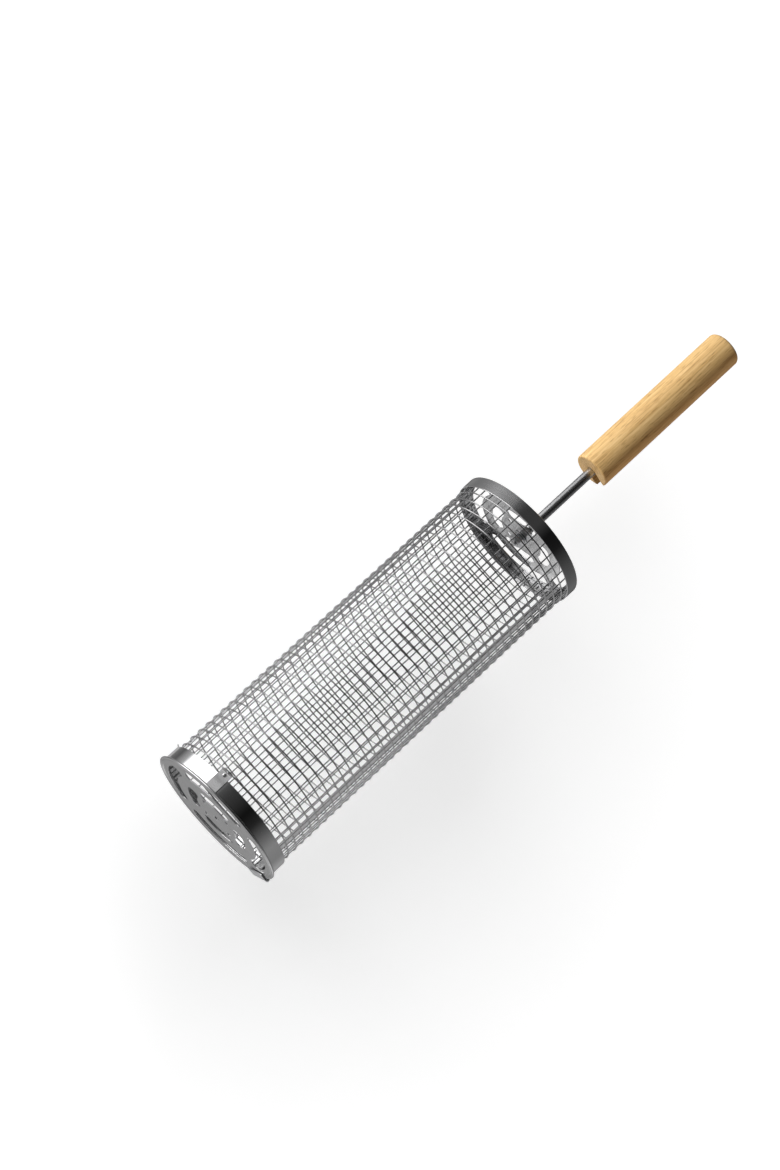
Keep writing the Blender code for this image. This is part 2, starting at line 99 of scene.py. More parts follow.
def mathNode(tree, kind, a, b=None, c=None):
    node = tree.nodes.new("ShaderNodeMath")
    node.operation = kind
    for k, value in enumerate((a, b, c)):
        if value is None:
            continue
        if isinstance(value, (int, float)):
            node.inputs[k].default_value = value
        else:
            tree.links.new(value, node.inputs[k])
    return node.outputs[0]


def noiseNode(tree, vector, scale, detail, rough):
    node = tree.nodes.new("ShaderNodeTexNoise")
    tree.links.new(vector, node.inputs["Vector"])
    for label, value in (("Scale", scale), ("Detail", detail), ("Roughness", rough)):
        node.inputs[label].default_value = value
    return node.outputs["Fac"]


def stretched(tree, axes, scales):
    # A vector whose parts are the given axes, each times its scale
    node = tree.nodes.new("ShaderNodeCombineXYZ")
    for k, (axis, scale) in enumerate(zip(axes, scales)):
        tree.links.new(mathNode(tree, "MULTIPLY", axis, scale), node.inputs[k])
    return node.outputs[0]


def rampNode(tree, factor, stops):
    node = tree.nodes.new("ShaderNodeValToRGB")
    tree.links.new(factor, node.inputs[0])
    ramp = node.color_ramp
    while len(ramp.elements) > 1:
        ramp.elements.remove(ramp.elements[-1])
    ramp.elements[0].position = stops[0][0]
    ramp.elements[0].color = (*stops[0][1], 1)
    for place, color in stops[1:]:
        ramp.elements.new(place).color = (*color, 1)
    return node.outputs["Color"]


def objectPlace(tree):
    # Object coordinates, in metres, measured from the basket's axis
    coord = tree.nodes.new("ShaderNodeTexCoord")
    shift = tree.nodes.new("ShaderNodeMapping")
    shift.inputs["Location"].default_value = (0, 0, -axisZ)
    tree.links.new(coord.outputs["Object"], shift.inputs["Vector"])
    return shift.outputs["Vector"]


brushed = {
    "flat": (400, 18, 2600),      # noise scales along X, Y and Z on a flat sheet
    "band": (2600, 1.2),          # along X, and round the axis, on a band
    "cloud": 70.0,
    "lineShare": 0.6,             # the rest comes from the cloud
    "roughShare": 0.8,
    "bumpHeight": 0.00002,
}


def brushedGroup():
    # Rolling lines: noise that is fine across them and long along them. "Round" blends from lines
    # along Y, as on a flat sheet, to lines that run round the basket's axis, as on a band.
    tree, given, out = newGroup("brushedLines", [
        ("Vector", "NodeSocketVector", (0, 0, 0)), ("Color", "NodeSocketColor", (0.6, 0.6, 0.6, 1)),
        ("Round", "NodeSocketFloat", 0.0), ("Roughness", "NodeSocketFloat", 0.15),
        ("Variation", "NodeSocketFloat", 0.1)],
        [("Color", "NodeSocketColor"), ("Roughness", "NodeSocketFloat"), ("Height", "NodeSocketFloat")])
    split = tree.nodes.new("ShaderNodeSeparateXYZ")
    tree.links.new(given.outputs["Vector"], split.inputs[0])
    x, y, z = split.outputs
    turn = mathNode(tree, "ARCTAN2", y, z)
    flat = stretched(tree, (x, y, z), brushed["flat"])
    band = stretched(tree, (x, turn), brushed["band"])
    mix = tree.nodes.new("ShaderNodeMix")
    mix.data_type = "VECTOR"
    tree.links.new(given.outputs["Round"], mix.inputs["Factor"])
    tree.links.new(flat, mix.inputs["A"])
    tree.links.new(band, mix.inputs["B"])
    lines = noiseNode(tree, mix.outputs["Result"], 1.0, 4.0, 0.6)
    cloud = noiseNode(tree, given.outputs["Vector"], brushed["cloud"], 3.0, 0.55)
    both = mathNode(tree, "ADD", mathNode(tree, "MULTIPLY", lines, brushed["lineShare"]),
                    mathNode(tree, "MULTIPLY", cloud, 1 - brushed["lineShare"]))
    offset = mathNode(tree, "MULTIPLY", mathNode(tree, "SUBTRACT", both, 0.5), given.outputs["Variation"])
    rough = mathNode(tree, "ADD", given.outputs["Roughness"],
                     mathNode(tree, "MULTIPLY", offset, brushed["roughShare"]))
    shade = tree.nodes.new("ShaderNodeVectorMath")
    shade.operation = "SCALE"
    tree.links.new(given.outputs["Color"], shade.inputs[0])
    tree.links.new(mathNode(tree, "ADD", 1.0, offset), shade.inputs["Scale"])
    tree.links.new(shade.outputs[0], out.inputs["Color"])
    tree.links.new(rough, out.inputs["Roughness"])
    tree.links.new(lines, out.inputs["Height"])
    return tree


brushedLines = brushedGroup()


def newMaterial(name):
    mat = bpy.data.materials.new(name)
    mat.use_nodes = True
    return mat, mat.node_tree, mat.node_tree.nodes["Principled BSDF"]


def steel(name, color, rough, variation, around, bump):
    mat, tree, shader = newMaterial(name)
    shader.inputs["Metallic"].default_value = 1.0
    group = tree.nodes.new("ShaderNodeGroup")
    group.node_tree = brushedLines
    tree.links.new(objectPlace(tree), group.inputs["Vector"])
    group.inputs["Color"].default_value = (*color, 1)
    group.inputs["Round"].default_value = around
    group.inputs["Roughness"].default_value = rough
    group.inputs["Variation"].default_value = variation
    tree.links.new(group.outputs["Color"], shader.inputs["Base Color"])
    tree.links.new(group.outputs["Roughness"], shader.inputs["Roughness"])
    if bump:
        node = tree.nodes.new("ShaderNodeBump")
        node.inputs["Strength"].default_value = bump
        node.inputs["Distance"].default_value = brushed["bumpHeight"]
        tree.links.new(group.outputs["Height"], node.inputs["Height"])
        tree.links.new(node.outputs[0], shader.inputs["Normal"])
    return mat


steelFinish = {
    "band": dict(color=(0.66, 0.66, 0.665), rough=0.13, variation=0.10, around=1.0, bump=0.10),
    "sheet": dict(color=(0.71, 0.71, 0.715), rough=0.17, variation=0.12, around=0.0, bump=0.12),
    "wire": dict(color=(0.55, 0.55, 0.555), rough=0.20, variation=0.22, around=0.0, bump=0.0),
    "hardware": dict(color=(0.76, 0.76, 0.77), rough=0.30, variation=0.16, around=0.0, bump=0.08),
    "clip": dict(color=(0.66, 0.66, 0.665), rough=0.16, variation=0.04, around=0.0, bump=0.03),
    "rod": dict(color=(0.64, 0.64, 0.65), rough=0.27, variation=0.14, around=1.0, bump=0.10),
}
steels = {key: steel("steel_" + key, **values) for key, values in steelFinish.items()}

wood = {
    "pale": (0.86, 0.60, 0.28),
    "main": (0.72, 0.46, 0.185),
    "dark": (0.44, 0.245, 0.085),
    "heart": (0.006, -0.031),           # Y and Z of the tree's middle, off the grip's axis
    "ring": 0.0031,                     # spacing of the growth rings
    "wanderScale": (9, 60, 60), "wander": 0.004,
    "fibreScale": (26, 720, 720), "patchScale": (14, 130, 130), "poreScale": (120, 1250, 1250),
    "poreStart": 0.62, "poreDepth": 0.42,
    # how much each pattern darkens the wood, and what is taken off their sum
    "lateShare": 0.38, "fibreShare": 2.1, "patchShare": 0.75, "poreShare": 0.85, "toneShift": 1.12,
    "rough": 0.42, "fibreRough": 0.22,
    "coat": 0.12, "coatRough": 0.3,
    "bump": 0.25, "bumpHeight": 0.00008,
}


def woodMaterial():
    # Growth rings round an off-centre heart, drawn out along X, with fine fibres and short pores.
    mat, tree, shader = newMaterial("pale_wood_grain")
    split = tree.nodes.new("ShaderNodeSeparateXYZ")
    tree.links.new(objectPlace(tree), split.inputs[0])
    x, y, z = split.outputs

    def grain(scales, detail, rough):
        return noiseNode(tree, stretched(tree, (x, y, z), scales), 1.0, detail, rough)

    def part(kind, a, b):
        return mathNode(tree, kind, a, b)

    wander = part("MULTIPLY", part("SUBTRACT", grain(wood["wanderScale"], 2.0, 0.5), 0.5), wood["wander"])
    dy = part("SUBTRACT", y, wood["heart"][0])
    dz = part("SUBTRACT", z, wood["heart"][1])
    radius = mathNode(tree, "SQRT", part("ADD", part("MULTIPLY", dy, dy), part("MULTIPLY", dz, dz)))
    ring = mathNode(tree, "FRACT", part("DIVIDE", part("ADD", radius, wander), wood["ring"]))
    late = part("POWER", ring, 3.0)
    fibre = grain(wood["fibreScale"], 5.0, 0.7)
    patch = grain(wood["patchScale"], 3.0, 0.5)
    pore = grain(wood["poreScale"], 1.0, 0.5)
    pores = part("MULTIPLY", part("GREATER_THAN", pore, wood["poreStart"]), wood["poreDepth"])
    tone = part("ADD", part("MULTIPLY", late, wood["lateShare"]), part("MULTIPLY", fibre, wood["fibreShare"]))
    tone = part("ADD", tone, part("MULTIPLY", patch, wood["patchShare"]))
    tone = part("ADD", tone, part("MULTIPLY", pores, wood["poreShare"]))
    tone = part("SUBTRACT", tone, wood["toneShift"])
    color = rampNode(tree, tone, [(0.0, wood["pale"]), (0.5, wood["main"]), (1.0, wood["dark"])])
    tree.links.new(color, shader.inputs["Base Color"])
    tree.links.new(part("ADD", wood["rough"], part("MULTIPLY", fibre, wood["fibreRough"])),
                   shader.inputs["Roughness"])
    shader.inputs["Coat Weight"].default_value = wood["coat"]
    shader.inputs["Coat Roughness"].default_value = wood["coatRough"]
    bump = tree.nodes.new("ShaderNodeBump")
    bump.inputs["Strength"].default_value = wood["bump"]
    bump.inputs["Distance"].default_value = wood["bumpHeight"]
    tree.links.new(part("SUBTRACT", fibre, pores), bump.inputs["Height"])
    tree.links.new(bump.outputs[0], shader.inputs["Normal"])
    return mat


woodGrain = woodMaterial()
print("materials made")

# mesh helpers


mergeGap = 1e-6


def newPiece(name, points, faces, mat, smooth=None):
    # One object at the origin, from points measured from the basket's axis; faces are lists of
    # indices, and smooth is one flag per face, or None where all are smooth.
    points = np.array(points, float)
    points[:, 2] += axisZ
    mesh = bpy.data.meshes.new(name)
    mesh.from_pydata(points.tolist(), [], [list(map(int, f)) for f in faces])
    flags = np.ones(len(mesh.polygons), bool) if smooth is None else np.array(smooth, bool)
    mesh.polygons.foreach_set("use_smooth", flags)
    bm = bmesh.new()
    bm.from_mesh(mesh)
    bmesh.ops.remove_doubles(bm, verts=bm.verts, dist=mergeGap)
    bmesh.ops.dissolve_degenerate(bm, edges=bm.edges, dist=mergeGap / 10)
    bmesh.ops.recalc_face_normals(bm, faces=bm.faces)
    bm.to_mesh(mesh)
    bm.free()
    mesh.materials.append(mat)
    ob = bpy.data.objects.new(name, mesh)
    bpy.context.scene.collection.objects.link(ob)
    return ob


def register(ob, body, node):
    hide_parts(node)
    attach(ob, body)


def addPiece(name, points, faces, mat, body, node, slotName, smooth=None):
    ob = newPiece(name, points, faces, mat, smooth)
    register(ob, body, node)
    return ob


def sharpFrom(ob, angle):
    ob.data.set_sharp_from_angle(angle=math.radians(angle))


def allSmooth(ob):
    ob.data.polygons.foreach_set("use_smooth", np.ones(len(ob.data.polygons), bool))


def softEdges(ob, width, segments, angle):
    mod = ob.modifiers.new("edges", "BEVEL")
    mod.width = width
    mod.segments = segments
    mod.limit_method = "ANGLE"
    mod.angle_limit = math.radians(angle)
    mod.harden_normals = True


def joined(ob, helpers, operation):
    # Applies Booleans with helper objects, then removes the helpers.
    for helper in helpers:
        mod = ob.modifiers.new("join", "BOOLEAN")
        mod.operation = operation
        mod.solver = "EXACT"
        mod.object = helper
    graph = bpy.context.evaluated_depsgraph_get()
    mesh = bpy.data.meshes.new_from_object(ob.evaluated_get(graph))
    old, ob.data = ob.data, mesh
    ob.modifiers.clear()
    bpy.data.meshes.remove(old)
    bm = bmesh.new()
    bm.from_mesh(mesh)
    bmesh.ops.remove_doubles(bm, verts=bm.verts, dist=5 * mergeGap)
    bmesh.ops.dissolve_degenerate(bm, edges=bm.edges, dist=2 * mergeGap)
    bm.to_mesh(mesh)
    bm.free()
    for helper in helpers:
        bpy.data.objects.remove(helper, do_unlink=True)


def gridFaces(rows, cols, rowsClosed, colsClosed):
    # Quads of a grid of rows x cols points, stored row by row.
    i = np.arange(rows if rowsClosed else rows - 1)
    j = np.arange(cols if colsClosed else cols - 1)
    i, j = np.meshgrid(i, j, indexing="ij")
    a = i * cols + j
    b = i * cols + (j + 1) % cols
    c = ((i + 1) % rows) * cols + (j + 1) % cols
    d = ((i + 1) % rows) * cols + j
    return np.stack([a, b, c, d], -1).reshape(-1, 4)


def closedEnds(rows, cols):
    # Faces of a tube of rows x cols points, with a flat face at each end.
    faces = gridFaces(rows, cols, False, True).tolist()
    return faces + [list(range(cols)), list(range((rows - 1) * cols, rows * cols))]


def roundCorners(corners, radii, steps=5, closed=True):
    # Each corner becomes an arc that touches both of its sides.
    pts = np.array(corners, float)
    count = len(pts)
    radii = [radii] * count if isinstance(radii, (int, float)) else radii
    parts = []
    for k, (p, r) in enumerate(zip(pts, radii)):
        if r == 0 or (not closed and k in (0, count - 1)):
            parts.append(p[None])
            continue
        u = pts[k - 1] - p
        v = pts[(k + 1) % count] - p
        u, v = u / np.linalg.norm(u), v / np.linalg.norm(v)
        half = math.acos(max(-1.0, min(1.0, float(u @ v)))) / 2
        middle = p + (u + v) / np.linalg.norm(u + v) * r / math.sin(half)
        start, end = p + u * r / math.tan(half) - middle, p + v * r / math.tan(half) - middle
        sweep = math.pi - 2 * half
        w = np.linspace(0, 1, steps + 1)[:, None]
        parts.append(middle + (np.sin((1 - w) * sweep) * start + np.sin(w * sweep) * end) / math.sin(sweep))
    return np.vstack(parts)


def heldFlat(profile, gap, closed):
    # Adds a point near both ends of each long straight run, so that smooth shading stays flat between.
    pts = np.array(profile, float)
    after = np.roll(pts, -1, axis=0)
    out = []
    for k, (p, q) in enumerate(zip(pts, after)):
        out.append(p)
        run = np.linalg.norm(q - p)
        if run > 4 * gap and (closed or k < len(pts) - 1):
            out += [p + (q - p) * gap / run, q + (p - q) * gap / run]
    return np.array(out)


holdGap = 0.12 * mm


def turned(profile, steps, closed):
    # Surface of revolution: point = (x(s), r(s) sin a, r(s) cos a), for a profile of (x, r).
    profile = heldFlat(profile, holdGap, closed)
    a = np.linspace(0, 2 * np.pi, steps, endpoint=False)
    x = np.repeat(profile[:, :1], steps, 1)
    y = profile[:, 1:] * np.sin(a)
    z = profile[:, 1:] * np.cos(a)
    return np.stack([x, y, z], -1).reshape(-1, 3), gridFaces(len(profile), steps, closed, True)


def swept(centres, sideA, sideB, radius, sides, closed):
    # Round bars: point = centre(s) + radius (cos b sideA(s) + sin b sideB(s)); arrays are (bars, n, 3).
    b = np.linspace(0, 2 * np.pi, sides, endpoint=False)
    ring = sideA[:, :, None] * np.cos(b)[:, None] + sideB[:, :, None] * np.sin(b)[:, None]
    points = centres[:, :, None] + radius * ring
    bars, count = centres.shape[:2]
    one = gridFaces(count, sides, closed, True)
    faces = (one[None] + np.arange(bars)[:, None, None] * count * sides).reshape(-1, 4).tolist()
    if not closed:
        for k in range(bars):
            base = k * count * sides
            faces.append(list(range(base, base + sides)))
            faces.append(list(range(base + (count - 1) * sides, base + count * sides)))
    return points.reshape(-1, 3), faces


def strip(path, width, thick, across, edge=0.15 * mm):
    # Sheet carried along a flat path: point = path(s) + v(c) normal(s) + u(c, s) across, where (u, v)
    # runs round a rectangle as wide as width(s), with cut corners. path is (n, 3), across one direction.
    path = np.array(path, float)
    width = np.broadcast_to(np.array(width, float), (len(path),))
    across = np.array(across, float)
    along = np.gradient(path, axis=0)
    along /= np.linalg.norm(along, axis=1)[:, None]
    normal = np.cross(along, across)
    h = thick / 2
    sides = np.array([-1, -1, -1, 1, 1, 1, 1, -1])
    v = np.array([-h + edge, h - edge, h, h, h - edge, -h + edge, -h, -h])
    inset = np.array([0, 0, 1, 1, 0, 0, 1, 1]) * edge
    u = sides * (width[:, None] / 2 - inset)
    points = path[:, None] + normal[:, None] * v[None, :, None] + across * u[:, :, None]
    return points.reshape(-1, 3), closedEnds(len(path), len(v))


# wire mesh

wires = {
    "thick": 1.08 * mm,
    "long": 37,              # lengthwise wires
    "seamGap": 4.3,          # degrees between the two edge wires, under the seam strip
    "hoopStep": 7.29 * mm,
    "firstHoop": 3.55 * mm,
    "sides": 8,
    "wobble": 0.048 * mm,
    "hoopEnd": 1.2,          # degrees that a hoop runs past the edge wires
    "underCollar": 1.1 * mm,
    "pressed": 0.80,         # share of a wire's thickness between the two layers' middles
    "longPoints": 61,
    "hoopPoints": 145,
    "window": 15,            # points over which the wobble is smoothed
}


def wobbles(rng, bars, count):
    # Smooth random offsets along each bar: white noise run through a Hann window
    window = np.hanning(wires["window"])
    noise = [rng.normal(0, 1, count + len(window) - 1) for _ in range(bars)]
    return np.array([np.convolve(row, window, "valid") for row in noise]) * wires["wobble"]


def makeWires():
    rng = np.random.default_rng(11)
    lo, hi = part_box("mesh_tube")
    rw = wires["thick"] / 2
    hoopR = roundRadius("lid_collar") - wires["underCollar"] - rw
    longR = hoopR - wires["pressed"] * wires["thick"]
    seam = math.radians(wires["seamGap"])
    # a is turned from +Z toward +Y, and the seam is at -90 degrees
    step = (2 * np.pi - seam) / (wires["long"] - 1)
    a = -np.pi / 2 + seam / 2 + step * np.arange(wires["long"])
    x = np.linspace(lo.x + rw, hi.x - rw, wires["longPoints"])
    turn = a[:, None] + wobbles(rng, len(a), len(x)) / longR
    out = np.stack([np.zeros_like(turn), np.sin(turn), np.cos(turn)], -1)
    side = np.stack([np.zeros_like(turn), np.cos(turn), -np.sin(turn)], -1)
    centres = out * longR
    centres[:, :, 0] = x
    points, faces = swept(centres, out, side, rw, wires["sides"], False)
    addPiece("longWires", points, faces, steels["wire"], "basket", "mesh_tube", "stainless_wire")

    count = int((hi.x - lo.x - 2 * rw) / wires["hoopStep"]) + 1
    hoopX = wires["firstHoop"] + wires["hoopStep"] * np.arange(count)
    hoopX[-1] = min(hoopX[-1], hi.x - rw)
    end = math.radians(wires["hoopEnd"])
    b = np.linspace(a[0] - end, a[-1] + end, wires["hoopPoints"])
    out = np.broadcast_to(np.stack([np.zeros_like(b), np.sin(b), np.cos(b)], -1), (count, len(b), 3))
    along = np.array([1.0, 0, 0])
    centres = out * hoopR + along * (hoopX[:, None] + wobbles(rng, count, len(b)))[:, :, None]
    side = np.broadcast_to(along, out.shape)
    points, faces = swept(centres, out, side, rw, wires["sides"], False)
    addPiece("hoopWires", points, faces, steels["wire"], "basket", "mesh_tube", "stainless_wire")
    print("wires made,", wires["long"], "long and", count, "hoops")


makeWires()

# seam strip

seamStrip = {
    "thick": 0.8 * mm, "width": 9.0 * mm, "underCollar": 2.75 * mm, "edge": 0.15 * mm,
    "welds": 26, "weldDepth": 0.16 * mm, "weldR": 1.1 * mm, "weldEnd": 6 * mm,
    "rows": 521, "columns": 13,
}


def makeSeamStrip():
    # Curved strip with a row of weld dimples: radius = r(s) - depth exp(-distance^2 to each weld).
    lo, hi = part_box("seam_strip")
    r1 = roundRadius("lid_collar") - seamStrip["underCollar"]
    half = seamStrip["width"] / 2 / r1
    rows, cols, weldR, end = (seamStrip[key] for key in ("rows", "columns", "weldR", "weldEnd"))
    x = np.linspace(lo.x, hi.x, rows)
    a = np.concatenate([np.linspace(-half, half, cols), np.linspace(half, -half, cols)])
    inner = np.repeat([0, 1], cols)
    edge = np.abs(a) >= half - 1e-9
    welds = np.linspace(lo.x + end, hi.x - end, seamStrip["welds"])
    near = np.min(np.abs(x[:, None] - welds), axis=1)
    bump = np.exp(-(near[:, None] / weldR) ** 2 - (a * r1 / weldR) ** 2)
    r = r1 - inner * seamStrip["thick"] + seamStrip["weldDepth"] * bump * inner
    r = r + np.where(edge, np.where(inner == 1, seamStrip["edge"], -seamStrip["edge"]), 0)
    turn = np.broadcast_to(-np.pi / 2 + a, r.shape)
    points = np.stack([np.broadcast_to(x[:, None], r.shape), r * np.sin(turn), r * np.cos(turn)], -1)
    faces = closedEnds(rows, 2 * cols)
    ob = addPiece("seamStripSheet", points.reshape(-1, 3), faces, steels["sheet"], "basket", "seam_strip",
                  "stainless_sheet")
    sharpFrom(ob, 50)


makeSeamStrip()

# collars

collars = {
    "wall": 0.8 * mm, "hem": 3.2 * mm, "steps": 256,
    "rounds": [0.2 * mm, 0.8 * mm, 0.3 * mm, 0.3 * mm, 0.15 * mm, 0.2 * mm],      # at each corner
}


def makeCollar(name, node, hemAtLow):
    # A band with its outer edge turned in.
    lo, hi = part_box(node)
    r1, w = roundRadius(node), collars["wall"]
    r0, rh = r1 - w, r1 - collars["hem"]
    near, far = (lo.x, hi.x) if hemAtLow else (hi.x, lo.x)
    s = 1 if hemAtLow else -1
    corners = [(near, rh), (near, r1), (far, r1), (far, r0), (near + s * w, r0), (near + s * w, rh)]
    points, faces = turned(roundCorners(corners, collars["rounds"], 6), collars["steps"], True)
    ob = addPiece(name, points, faces, steels["band"], "basket", node, "stainless_sheet")
    sharpFrom(ob, 60)


makeCollar("lidCollarBand", "lid_collar", True)
makeCollar("endCollarBand", "end_collar", False)
print("collars made")

# pierced plates

plates = {
    "thick": 0.8 * mm, "edge": 0.22 * mm,
    "outSlotR": 47.9 * mm, "outSlotWidth": 9.6 * mm, "outSlotHalf": 38.0,
    "inSlotR": 28.4 * mm, "inSlotWidth": 9.2 * mm, "inSlotHalf": 34.0,
    "smallR": 1.9 * mm, "smallPitchR": 15.7 * mm,
    "rodHoleR": 3.3 * mm,
    "steps": 256,
}


def onCircle(r, a):
    return r * np.stack([np.cos(a), np.sin(a)], -1)


def slotOutline(rOut, width, halfDeg, midDeg, steps, cap=12):
    # Slot along a circle: an outer arc, a half circle, an inner arc, a half circle, as (y, z).
    rMid, end = rOut - width / 2, width / 2
    mid, half = math.radians(midDeg), math.radians(halfDeg) - end / rMid
    sweep = np.linspace(-half, half, steps) + mid
    turn = np.linspace(0, np.pi, cap + 2)[1:-1]
    capA = onCircle(rMid, mid + half) + onCircle(end, mid + half + turn)
    capB = onCircle(rMid, mid - half) + onCircle(end, mid - half + np.pi + turn)
    return np.vstack([onCircle(rOut, sweep), capA, onCircle(rOut - width, sweep[::-1]), capB])


def circleOutline(y, z, r, steps):
    return np.array([y, z]) + onCircle(r, np.linspace(0, 2 * np.pi, steps, endpoint=False))


def holeOutlines(centreR):
    out = []
    for k in range(4):
        for kind, steps in (("out", 44), ("in", 30)):
            r, width, half = (plates[kind + "Slot" + word] for word in ("R", "Width", "Half"))
            out.append(slotOutline(r, width, half, 45 + 90 * k, steps))
        y, z = onCircle(plates["smallPitchR"], math.radians(90 * k))
        out.append(circleOutline(y, z, plates["smallR"], 28))
    out.append(circleOutline(0, 0, centreR, 36))
    return out


def insidePolygon(pts, poly):
    # Even-odd rule: counts the polygon's sides that a ray from each point along +Y crosses.
    a, b = poly, np.roll(poly, -1, axis=0)
    py, pz = pts[:, :1], pts[:, 1:]
    cross = (a[:, 1] > pz) != (b[:, 1] > pz)
    with np.errstate(divide="ignore", invalid="ignore"):
        at = a[:, 0] + (pz - a[:, 1]) * (b[:, 0] - a[:, 0]) / (b[:, 1] - a[:, 1])
    return (cross & (py < at)).sum(1) % 2 == 1


def piercedSheet(outlines, outerRing, x0, x1, edge):
    # Flat sheet between x0 and x1: its two faces are triangulated between the outer ring and the
    # holes, and each hole's wall runs (inset, depth) round a quarter circle, straight, and round again.
    turn = np.linspace(0, np.pi / 2, 4)
    inset = np.concatenate([edge - edge * np.sin(turn), (edge - edge * np.sin(turn))[::-1]])
    depth = np.concatenate([x0 + edge - edge * np.cos(turn), (x1 - edge + edge * np.cos(turn))[::-1]])
    points, faces, smooth, faceLoops = [], [], [], []
    base = 0
    for poly in outlines:
        along = np.roll(poly, -1, axis=0) - np.roll(poly, 1, axis=0)
        along /= np.linalg.norm(along, axis=1)[:, None]
        away = np.stack([along[:, 1], -along[:, 0]], -1)      # outlines run anticlockwise
        n = len(poly)
        points += [np.column_stack([np.full(n, x), poly + away * d]) for d, x in zip(inset, depth)]
        wall = gridFaces(len(inset), n, False, True) + base
        faces += wall.tolist()
        smooth += [True] * len(wall)
        faceLoops.append((base, n, poly + away * edge))
        base += n * len(inset)
    n = len(outerRing)
    points += [np.column_stack([np.full(n, x), outerRing]) for x in (x0, x1)]
    loops = [outerRing] + [loop for _, _, loop in faceLoops]
    flat = np.vstack(loops)
    starts = np.cumsum([0] + [len(p) for p in loops])
    edges = []
    for k, p in enumerate(loops):
        edges += [(int(starts[k] + i), int(starts[k] + (i + 1) % len(p))) for i in range(len(p))]
    got = delaunay_2d_cdt([Vector(p) for p in flat.tolist()], edges, [], 0, 1e-9)
    index = [orig[0] for orig in got[3]]
    tris = np.array([[index[i] for i in f] for f in got[2]])
    middle = flat[tris].mean(1)
    keep = insidePolygon(middle, outerRing)
    for _, _, loop in faceLoops:
        keep &= ~insidePolygon(middle, loop)
    tris = tris[keep]
    front, back = np.zeros(len(flat), int), np.zeros(len(flat), int)
    front[:n] = base + np.arange(n)
    back[:n] = base + n + np.arange(n)
    for k, (start, count, _) in enumerate(faceLoops):
        front[starts[k + 1]:starts[k + 2]] = start + np.arange(count)
        back[starts[k + 1]:starts[k + 2]] = start + count * (len(inset) - 1) + np.arange(count)
    faces += front[tris].tolist() + back[tris][:, ::-1].tolist()
    smooth += [False] * (2 * len(tris))
    return np.vstack(points), faces, smooth


lid = {
    "flatR": 51.6 * mm, "centreR": 2.6 * mm, "faceX": 0.3 * mm,
    # the rim's outline outside the flat face: (depth behind its front, depth under its edge, round)
    "rimFront": [(0, 3.3, 0.2), (0, 2.6, 0.2), (0.55, 2.35, 0.12), (0, 1.9, 0.3), (0, 0, 0.72)],
    "faceEnd": 3.7 * mm, "backEnd": 3.2 * mm, "lipEnd": 2.2 * mm,
}


def makeLidPlate():
    # Pierced flat face, a raised ring, a groove and a rolled rim; the rim is flattened at the hinge.
    lo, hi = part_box("lid_plate")
    r2, f = roundRadius("lid_plate"), lid["flatR"]
    x0, x1 = lo.x + lid["faceX"], lo.x + lid["faceX"] + plates["thick"]
    ring = circleOutline(0, 0, f, plates["steps"])
    points, faces, smooth = piercedSheet(holeOutlines(lid["centreR"]), ring, x0, x1, plates["edge"])
    # front side outward, round the rim, and back along the rear side; its ends lie on the sheet's ring
    corners = [(x0, f), (x0, r2 - lid["faceEnd"])]
    corners += [(lo.x + dx * mm, r2 - dr * mm) for dx, dr, _ in lid["rimFront"]]
    corners += [(hi.x, r2), (hi.x, r2 - lid["lipEnd"]), (x1, r2 - lid["backEnd"]), (x1, f)]
    rounds = [0, 0.4 * mm] + [r * mm for _, _, r in lid["rimFront"]] + [0.7 * mm, 0.3 * mm, 0.5 * mm, 0]
    rimPoints, rimFaces = turned(roundCorners(corners, rounds, 5, closed=False), plates["steps"], False)
    faces += (rimFaces + len(points)).tolist()
    smooth += [True] * len(rimFaces)
    points = np.vstack([points, rimPoints])
    points[:, 1] = np.maximum(points[:, 1], lo.y)
    addPiece("lidPlateSheet", points, faces, steels["sheet"], "lid", "lid_plate", "stainless_sheet", smooth)


makeLidPlate()


def makeEndPlate():
    lo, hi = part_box("end_plate")
    r, e = roundRadius("end_plate"), plates["edge"]
    ring = circleOutline(0, 0, r - e, plates["steps"])
    points, faces, smooth = piercedSheet(holeOutlines(plates["rodHoleR"]), ring, lo.x, hi.x, e)
    turn = np.linspace(0, np.pi / 2, 5)
    rimX = np.concatenate([lo.x + e - e * np.cos(turn), (hi.x - e + e * np.cos(turn))[::-1]])
    rimR = np.concatenate([r - e + e * np.sin(turn), (r - e + e * np.sin(turn))[::-1]])
    rimPoints, rimFaces = turned(np.column_stack([rimX, rimR]), plates["steps"], False)
    faces += (rimFaces + len(points)).tolist()
    smooth += [True] * len(rimFaces)
    addPiece("endPlateSheet", np.vstack([points, rimPoints]), faces, steels["sheet"], "basket", "end_plate",
             "stainless_sheet", smooth)


makeEndPlate()
print("plates made")

# hinge

hinge = {
    "barrelR": 1.7 * mm, "pinR": 0.75 * mm, "sheet": 0.75 * mm, "midHalf": 3.7 * mm,
    "gap": 0.3 * mm, "leafIn": 50.5 * mm, "cornerCut": 0.5 * mm, "overlap": 0.7 * mm,
    "headR": 1.25 * mm, "head": 0.6 * mm, "headGap": 0.2 * mm,
}


